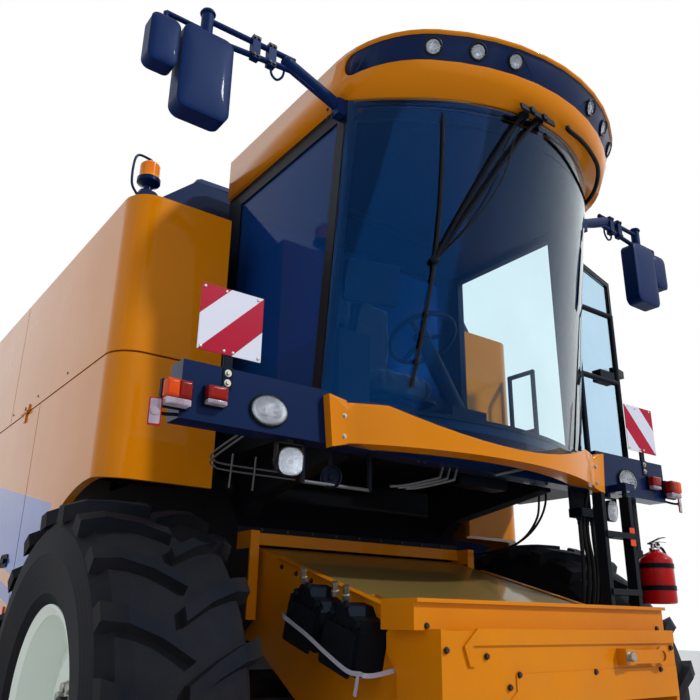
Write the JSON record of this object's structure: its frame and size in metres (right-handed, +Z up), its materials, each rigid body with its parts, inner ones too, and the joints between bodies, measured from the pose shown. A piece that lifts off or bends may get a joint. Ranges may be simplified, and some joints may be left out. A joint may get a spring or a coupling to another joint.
{
  "type": "combine harvester",
  "caption": "Self-propelled grain combine with bowed-glass cab, sloping feeder house, grain tank, folding unloading auger and lugged tyres.",
  "frame": {"origin": "middle of the machine's overall box, on the ground", "axes": "+X the machine's left, +Y rearward, +Z up; the cab and feeder house face -Y"},
  "size_m": [3.76, 8.46, 3.9595],
  "materials": {
    "yellow_paint": "gloss",
    "orange_paint": "gloss",
    "navy_paint": "satin",
    "black_paint": "satin",
    "bare_steel": "brushed",
    "rim_paint": "gloss",
    "tyre_rubber": "matte",
    "cab_glass": "clear",
    "clear_lens": "clear",
    "red_lens": "gloss",
    "sign_board": "gloss",
    "seat_cloth": "woven",
    "black_plastic": "matte",
    "red_paint": "gloss"
  },
  "bodies": {
    "chassis": {"main_frame": "black_paint", "front_axle": "black_paint", "thresher_body": "black_paint", "mouth_frame": "yellow_paint", "side_panels": "yellow_paint", "top_deck": "navy_paint", "grain_tank": "navy_paint", "engine": "black_paint", "engine_hood": "yellow_paint", "straw_hood": "yellow_paint", "straw_chopper": "yellow_paint", "fuel_tank": "black_plastic", "front_beam": "navy_paint", "cab_platform": "black_paint", "windscreen": "cab_glass", "cab_frame": "black_paint", "cab_glass": "cab_glass", "cab_roof": "yellow_paint", "roof_band": "navy_paint", "cab_trim": "yellow_paint", "clear_lamps": "clear_lens", "marker_lamps": "red_lens", "warning_signs": "sign_board", "seat": "seat_cloth", "steering": "black_plastic", "mirrors": "black_plastic", "handrails": "black_paint", "fire_extinguisher": "red_paint", "rear_axle": "black_paint"},
    "shield_r": {"shield_r": "yellow_paint"},
    "shield_l": {"shield_l": "yellow_paint"},
    "cover_r": {"tank_cover_r": "navy_paint"},
    "cover_l": {"tank_cover_l": "navy_paint"},
    "screen": {"dust_screen": "black_paint"},
    "door": {"door_frame": "black_paint", "door_glass": "cab_glass"},
    "ladder": {"ladder": "black_paint"},
    "feeder": {"feeder_housing": "orange_paint", "header_frame": "yellow_paint", "feeder_chain": "bare_steel", "control_boxes": "black_plastic"},
    "barrel_r": {"lift_barrel_r": "black_paint"},
    "barrel_l": {"lift_barrel_l": "black_paint"},
    "rod_r": {"lift_rod_r": "bare_steel"},
    "rod_l": {"lift_rod_l": "bare_steel"},
    "knuckle_r": {"knuckle_r": "black_paint"},
    "knuckle_l": {"knuckle_l": "black_paint"},
    "auger": {"auger_tube": "yellow_paint"},
    "wheel_fr": {"tyre_fr": "tyre_rubber", "rim_fr": "rim_paint"},
    "wheel_fl": {"tyre_fl": "tyre_rubber", "rim_fl": "rim_paint"},
    "wheel_rr": {"tyre_rr": "tyre_rubber", "rim_rr": "rim_paint"},
    "wheel_rl": {"tyre_rl": "tyre_rubber", "rim_rl": "rim_paint"}
  },
  "joints": [
    {"name": "feeder_tilt", "type": "hinge", "parent": "chassis", "child": "feeder", "pos_m": [0, -2.57, 1.39], "axis": [-1, 0, 0], "range_deg": [-13, 17]},
    {"name": "lift_swing_r", "type": "hinge", "parent": "chassis", "child": "barrel_r", "pos_m": [-0.48, -2.58, 0.5], "axis": [-1, 0, 0], "range_deg": [-10.5, 13.7]},
    {"name": "lift_stroke_r", "type": "slide", "parent": "barrel_r", "child": "rod_r", "axis": [0, -0.978, 0.2088], "range_m": [-0.1966, 0.2568]},
    {"name": "lift_swing_l", "type": "hinge", "parent": "chassis", "child": "barrel_l", "pos_m": [0.48, -2.58, 0.5], "axis": [-1, 0, 0], "range_deg": [-10.5, 13.7]},
    {"name": "lift_stroke_l", "type": "slide", "parent": "barrel_l", "child": "rod_l", "axis": [0, -0.978, 0.2088], "range_m": [-0.1966, 0.2568]},
    {"name": "auger_swing", "type": "hinge", "parent": "chassis", "child": "auger", "pos_m": [1.395, -1.77, 3.51], "axis": [0, 0, -1], "range_deg": [0, 92]},
    {"name": "door_swing", "type": "hinge", "parent": "chassis", "child": "door", "pos_m": [0.923, -3.38, 2.9], "axis": [0, 0, 1], "range_deg": [0, 77]},
    {"name": "ladder_swing", "type": "hinge", "parent": "chassis", "child": "ladder", "pos_m": [1.05, -3.605, 1.9], "axis": [0, 0, 1], "range_deg": [0, 80]},
    {"name": "cover_swing_r", "type": "hinge", "parent": "chassis", "child": "cover_r", "pos_m": [-1.055, -1.05, 3.855], "axis": [0, -1, 0], "range_deg": [0, 105]},
    {"name": "cover_swing_l", "type": "hinge", "parent": "chassis", "child": "cover_l", "pos_m": [1.055, -1.05, 3.855], "axis": [0, 1, 0], "range_deg": [0, 105]},
    {"name": "shield_swing_r", "type": "hinge", "parent": "chassis", "child": "shield_r", "pos_m": [-1.609, -0.58, 2.45], "axis": [0, 1, 0], "range_deg": [0, 70]},
    {"name": "shield_swing_l", "type": "hinge", "parent": "chassis", "child": "shield_l", "pos_m": [1.609, -0.58, 2.45], "axis": [0, -1, 0], "range_deg": [0, 70]},
    {"name": "screen_spin", "type": "hinge", "parent": "chassis", "child": "screen", "pos_m": [-1.6, 0.92, 2.88], "axis": [1, 0, 0], "continuous": true},
    {"name": "steer_r", "type": "hinge", "parent": "chassis", "child": "knuckle_r", "pos_m": [-1.12, 0.99, 0.63], "axis": [0, 0, 1], "range_deg": [-40, 40]},
    {"name": "steer_l", "type": "hinge", "parent": "chassis", "child": "knuckle_l", "pos_m": [1.12, 0.99, 0.63], "axis": [0, 0, 1], "range_deg": [-40, 40]},
    {"name": "spin_fr", "type": "hinge", "parent": "chassis", "child": "wheel_fr", "pos_m": [-1.43, -2.66, 0.88], "axis": [1, 0, 0], "continuous": true},
    {"name": "spin_fl", "type": "hinge", "parent": "chassis", "child": "wheel_fl", "pos_m": [1.43, -2.66, 0.88], "axis": [1, 0, 0], "continuous": true},
    {"name": "spin_rr", "type": "hinge", "parent": "knuckle_r", "child": "wheel_rr", "pos_m": [-1.4, 0.99, 0.63], "axis": [1, 0, 0], "continuous": true},
    {"name": "spin_rl", "type": "hinge", "parent": "knuckle_l", "child": "wheel_rl", "pos_m": [1.4, 0.99, 0.63], "axis": [1, 0, 0], "continuous": true}
  ],
  "couplings": [
    {"joint": "lift_swing_r", "follows": "feeder_tilt", "ratio": 0.8},
    {"joint": "lift_swing_l", "follows": "feeder_tilt", "ratio": 0.8},
    {"joint": "lift_stroke_r", "follows": "feeder_tilt", "m_per_rad": 0.862},
    {"joint": "lift_stroke_l", "follows": "feeder_tilt", "m_per_rad": 0.862},
    {"joint": "steer_l", "follows": "steer_r", "ratio": 1}
  ]
}
